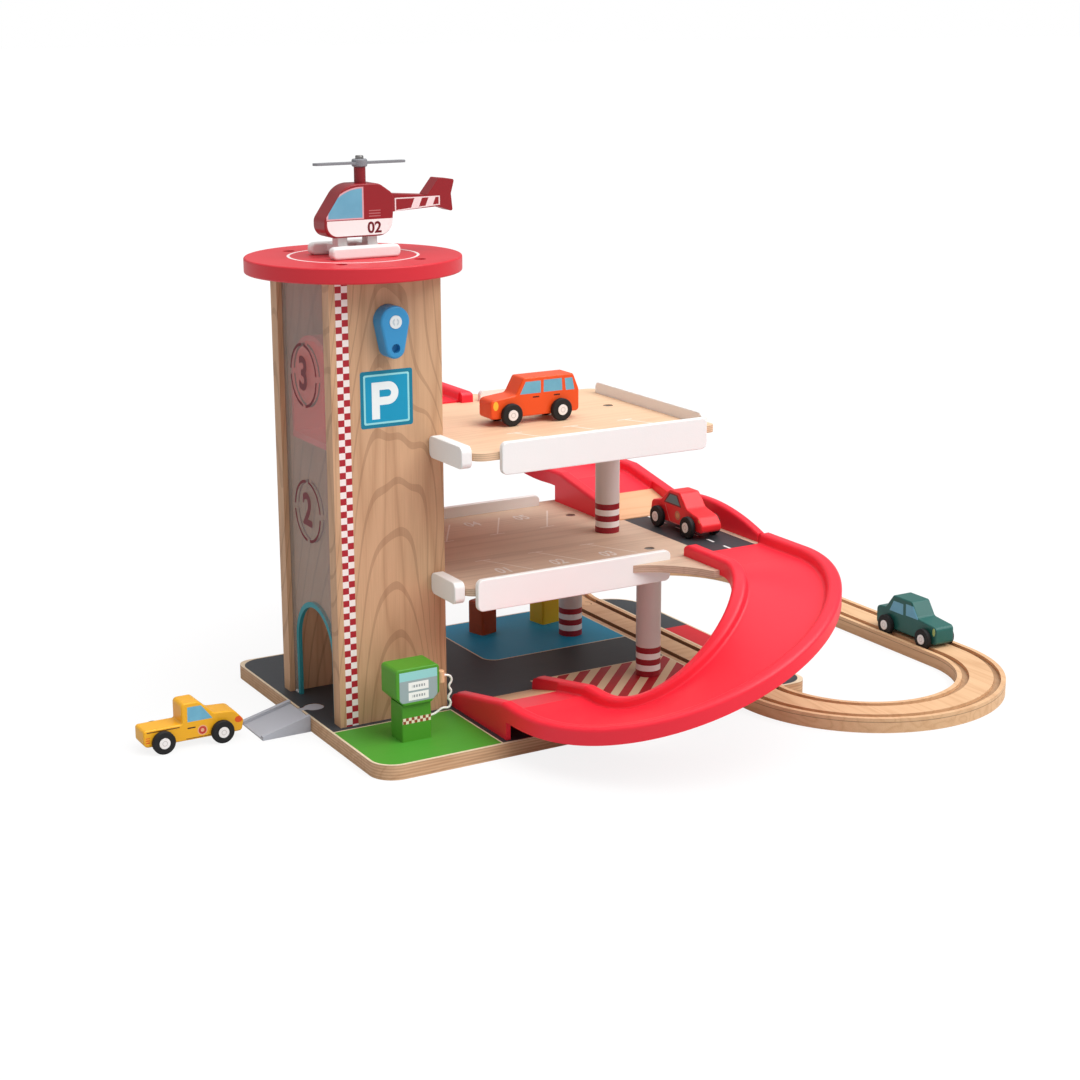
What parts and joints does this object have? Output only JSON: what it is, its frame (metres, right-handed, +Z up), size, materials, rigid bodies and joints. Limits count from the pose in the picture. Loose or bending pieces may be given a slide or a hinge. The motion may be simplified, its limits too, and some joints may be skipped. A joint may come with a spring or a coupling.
{
  "type": "toy parking garage with lift",
  "caption": "Wooden toy parking garage: hand-cranked lift tower with helipad, three levels, red U-turn ramps, a train track loop, cars and a helicopter.",
  "frame": {"origin": "middle of the base board's underside, on the floor", "axes": "+Z up; +X from the lift tower towards the train loop; +Y from the pictured front towards the back"},
  "size_m": [0.7014, 0.55, 0.4478],
  "materials": {
    "beech": "clear matt lacquer",
    "birch_ply": "clear matt lacquer",
    "blue_plastic": "smooth moulded",
    "clear_sheet": "clear",
    "cord_white": "braided",
    "dark_red_paint": "satin paint",
    "green_paint": "satin paint",
    "grey_paint": "satin paint",
    "grey_plastic": "fine matt",
    "leaf_green_paint": "satin paint",
    "light_wood": "clear matt lacquer",
    "orange_paint": "satin paint",
    "red_paint": "satin paint",
    "red_plastic": "smooth moulded",
    "steel": "plain",
    "tan_paint": "satin paint",
    "tyre_black": "matt",
    "white_paint": "satin paint",
    "white_plastic": "smooth moulded",
    "yellow_paint": "satin paint"
  },
  "bodies": {
    "garage": {"base_board": "birch_ply", "base_screws": "steel", "column_front": "grey_paint", "column_rear": "grey_paint", "column_screws": "steel", "column_upper": "grey_paint", "entry_ramp": "grey_plastic", "helipad": "red_paint", "helipad_screws": "steel", "lift_guides": "beech", "lower_deck": "birch_ply", "lower_front_fence": "white_paint", "lower_left_guard": "white_paint", "lower_ramp": "red_plastic", "lower_ramp_wedge": "light_wood", "lower_rear_fence": "white_paint", "orange_block": "tan_paint", "pump_head": "leaf_green_paint", "pump_hose": "white_plastic", "pump_nozzle": "light_wood", "pump_stem": "leaf_green_paint", "road_guard": "red_plastic", "tower_front_panel": "birch_ply", "tower_rear_panel": "birch_ply", "tower_window": "clear_sheet", "track_curve_front_left": "beech", "track_curve_front_right": "beech", "track_curve_rear_left": "beech", "track_curve_rear_right": "beech", "track_straight_right": "beech", "upper_deck": "birch_ply", "upper_front_fence": "white_paint", "upper_left_guard": "white_paint", "upper_ramp": "red_plastic", "upper_ramp_wedge": "light_wood", "upper_rear_fence": "white_paint", "upper_right_fence": "white_paint", "yellow_block": "yellow_paint"},
    "lift": {"lift_cabin": "red_plastic", "lift_cord": "cord_white"},
    "crank": {"crank_handle": "blue_plastic", "crank_cap": "white_plastic", "crank_axle": "steel", "cord_drum": "white_plastic"},
    "helicopter": {"helicopter_body": "dark_red_paint", "helicopter_skids": "white_paint", "rotor_cap": "steel"},
    "rotor": {"helicopter_rotor": "grey_plastic"},
    "suv": {"suv_body": "orange_paint"},
    "suv_front": {"suv_front_wheels": "tyre_black"},
    "suv_rear": {"suv_rear_wheels": "tyre_black"},
    "pickup": {"pickup_body": "yellow_paint"},
    "pickup_front": {"pickup_front_wheels": "tyre_black"},
    "pickup_rear": {"pickup_rear_wheels": "tyre_black"},
    "red_car": {"red_car_body": "red_paint"},
    "red_car_front": {"red_car_front_wheels": "tyre_black"},
    "red_car_rear": {"red_car_rear_wheels": "tyre_black"},
    "green_car": {"green_car_body": "green_paint"},
    "green_car_front": {"green_car_front_wheels": "tyre_black"},
    "green_car_rear": {"green_car_rear_wheels": "tyre_black"}
  },
  "joints": [
    {"name": "lift_slide", "type": "slide", "parent": "garage", "child": "lift", "axis": [0, 0, 1], "range_m": [-0.2137, 0], "deforming": ["lift_cord"]},
    {"name": "crank_turn", "type": "hinge", "parent": "garage", "child": "crank", "pos_m": [-0.1395, -0.054, 0.329], "axis": [0, 1, 0], "range_deg": [-1105, 1]},
    {"name": "suv_roll", "type": "slide", "parent": "garage", "child": "suv", "axis": [-1, 0, 0], "range_m": [-0.06, 0.04]},
    {"name": "suv_front_spin", "type": "hinge", "parent": "suv", "child": "suv_front", "pos_m": [-0.0215, -0.0175, 0.2402], "axis": [0, -1, 0], "range_deg": [-375, 251]},
    {"name": "suv_rear_spin", "type": "hinge", "parent": "suv", "child": "suv_rear", "pos_m": [0.0245, -0.0175, 0.2402], "axis": [0, -1, 0], "range_deg": [-375, 251]},
    {"name": "pickup_roll", "type": "slide", "parent": "garage", "child": "pickup", "axis": [1, 0, 0], "range_m": [-0.1, 0.01]},
    {"name": "pickup_front_spin", "type": "hinge", "parent": "pickup", "child": "pickup_front", "pos_m": [-0.2665, 0.0095, 0.0092], "axis": [0, 1, 0], "range_deg": [-624, 64]},
    {"name": "pickup_rear_spin", "type": "hinge", "parent": "pickup", "child": "pickup_rear", "pos_m": [-0.3145, 0.0095, 0.0092], "axis": [0, 1, 0], "range_deg": [-624, 64]},
    {"name": "red_car_roll", "type": "slide", "parent": "garage", "child": "red_car", "axis": [0, -1, 0], "range_m": [-0.015, 0.035]},
    {"name": "red_car_front_spin", "type": "hinge", "parent": "red_car", "child": "red_car_front", "pos_m": [0.149, -0.051, 0.1307], "axis": [1, 0, 0], "range_deg": [-95, 219]},
    {"name": "red_car_rear_spin", "type": "hinge", "parent": "red_car", "child": "red_car_rear", "pos_m": [0.149, -0.005, 0.1307], "axis": [1, 0, 0], "range_deg": [-95, 219]},
    {"name": "green_car_roll", "type": "slide", "parent": "garage", "child": "green_car", "axis": [0, -1, 0], "range_m": [-0.18, 0.006]},
    {"name": "green_car_front_spin", "type": "hinge", "parent": "green_car", "child": "green_car_front", "pos_m": [0.3519, -0.122, 0.0182], "axis": [1, 0, 0], "range_deg": [-1123, 39]},
    {"name": "green_car_rear_spin", "type": "hinge", "parent": "green_car", "child": "green_car_rear", "pos_m": [0.3519, -0.072, 0.0182], "axis": [1, 0, 0], "range_deg": [-1123, 39]},
    {"name": "helicopter_lift_off", "type": "slide", "parent": "garage", "child": "helicopter", "axis": [0, 0, 1], "range_m": [0, 0.08]},
    {"name": "rotor_spin", "type": "hinge", "parent": "helicopter", "child": "rotor", "pos_m": [-0.1345, 0.003, 0.442], "axis": [0, 0, 1], "continuous": true}
  ],
  "couplings": [
    {"joint": "crank_turn", "follows": "lift_slide", "rad_per_m": 90.09},
    {"joint": "suv_front_spin", "follows": "suv_roll", "rad_per_m": 108.7},
    {"joint": "suv_rear_spin", "follows": "suv_roll", "rad_per_m": 108.7},
    {"joint": "pickup_front_spin", "follows": "pickup_roll", "rad_per_m": 108.7},
    {"joint": "pickup_rear_spin", "follows": "pickup_roll", "rad_per_m": 108.7},
    {"joint": "red_car_front_spin", "follows": "red_car_roll", "rad_per_m": 108.7},
    {"joint": "red_car_rear_spin", "follows": "red_car_roll", "rad_per_m": 108.7},
    {"joint": "green_car_front_spin", "follows": "green_car_roll", "rad_per_m": 108.7},
    {"joint": "green_car_rear_spin", "follows": "green_car_roll", "rad_per_m": 108.7}
  ]
}
